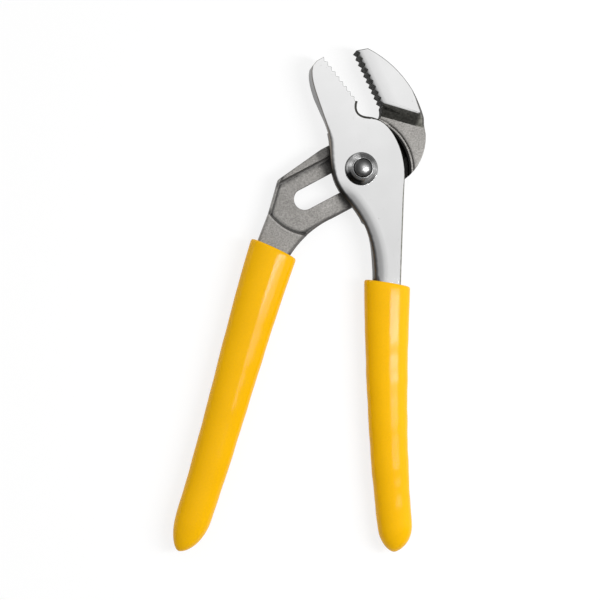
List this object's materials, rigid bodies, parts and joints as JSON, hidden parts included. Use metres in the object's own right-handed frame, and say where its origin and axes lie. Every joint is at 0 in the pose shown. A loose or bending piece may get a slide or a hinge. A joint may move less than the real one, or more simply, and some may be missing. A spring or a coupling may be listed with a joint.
{
  "type": "water pump pliers",
  "caption": "Slot-adjusted water pump pliers: toothed front lever turning on a bolt that slides in the slotted lever, arc tongue and grooves, sleeve grips.",
  "frame": {"origin": "pivot bolt axis, on the back face of the bolt head", "axes": "+X to the right and +Y towards the jaws, seen from the front; +Z along the bolt from its head to its domed end"},
  "size_m": [0.1215, 0.2404, 0.0206],
  "materials": {
    "blasted_steel": "blasted grey forging with a polished jaw face",
    "polished_steel": "polished face, darker forged edges",
    "bolt_steel": "turned and polished",
    "collar_chrome": "bright plated",
    "yellow_vinyl": "glossy moulded vinyl sleeve"
  },
  "bodies": {
    "slotted_half": {"slotted_lever": "blasted_steel", "back_grip": "yellow_vinyl"},
    "pivot": {"pivot_bolt": "bolt_steel", "lock_collar": "collar_chrome"},
    "front_half": {"front_lever": "polished_steel", "front_grip": "yellow_vinyl"}
  },
  "joints": [
    {"name": "bolt_slide", "type": "slide", "parent": "slotted_half", "child": "pivot", "axis": [-0.8813, -0.4726, 0], "range_m": [0, 0.028]},
    {"name": "front_swing", "type": "hinge", "parent": "pivot", "child": "front_half", "pos_m": [0, 0, 0.0112], "axis": [0, 0, 1], "range_deg": [-15.8, 26]}
  ]
}
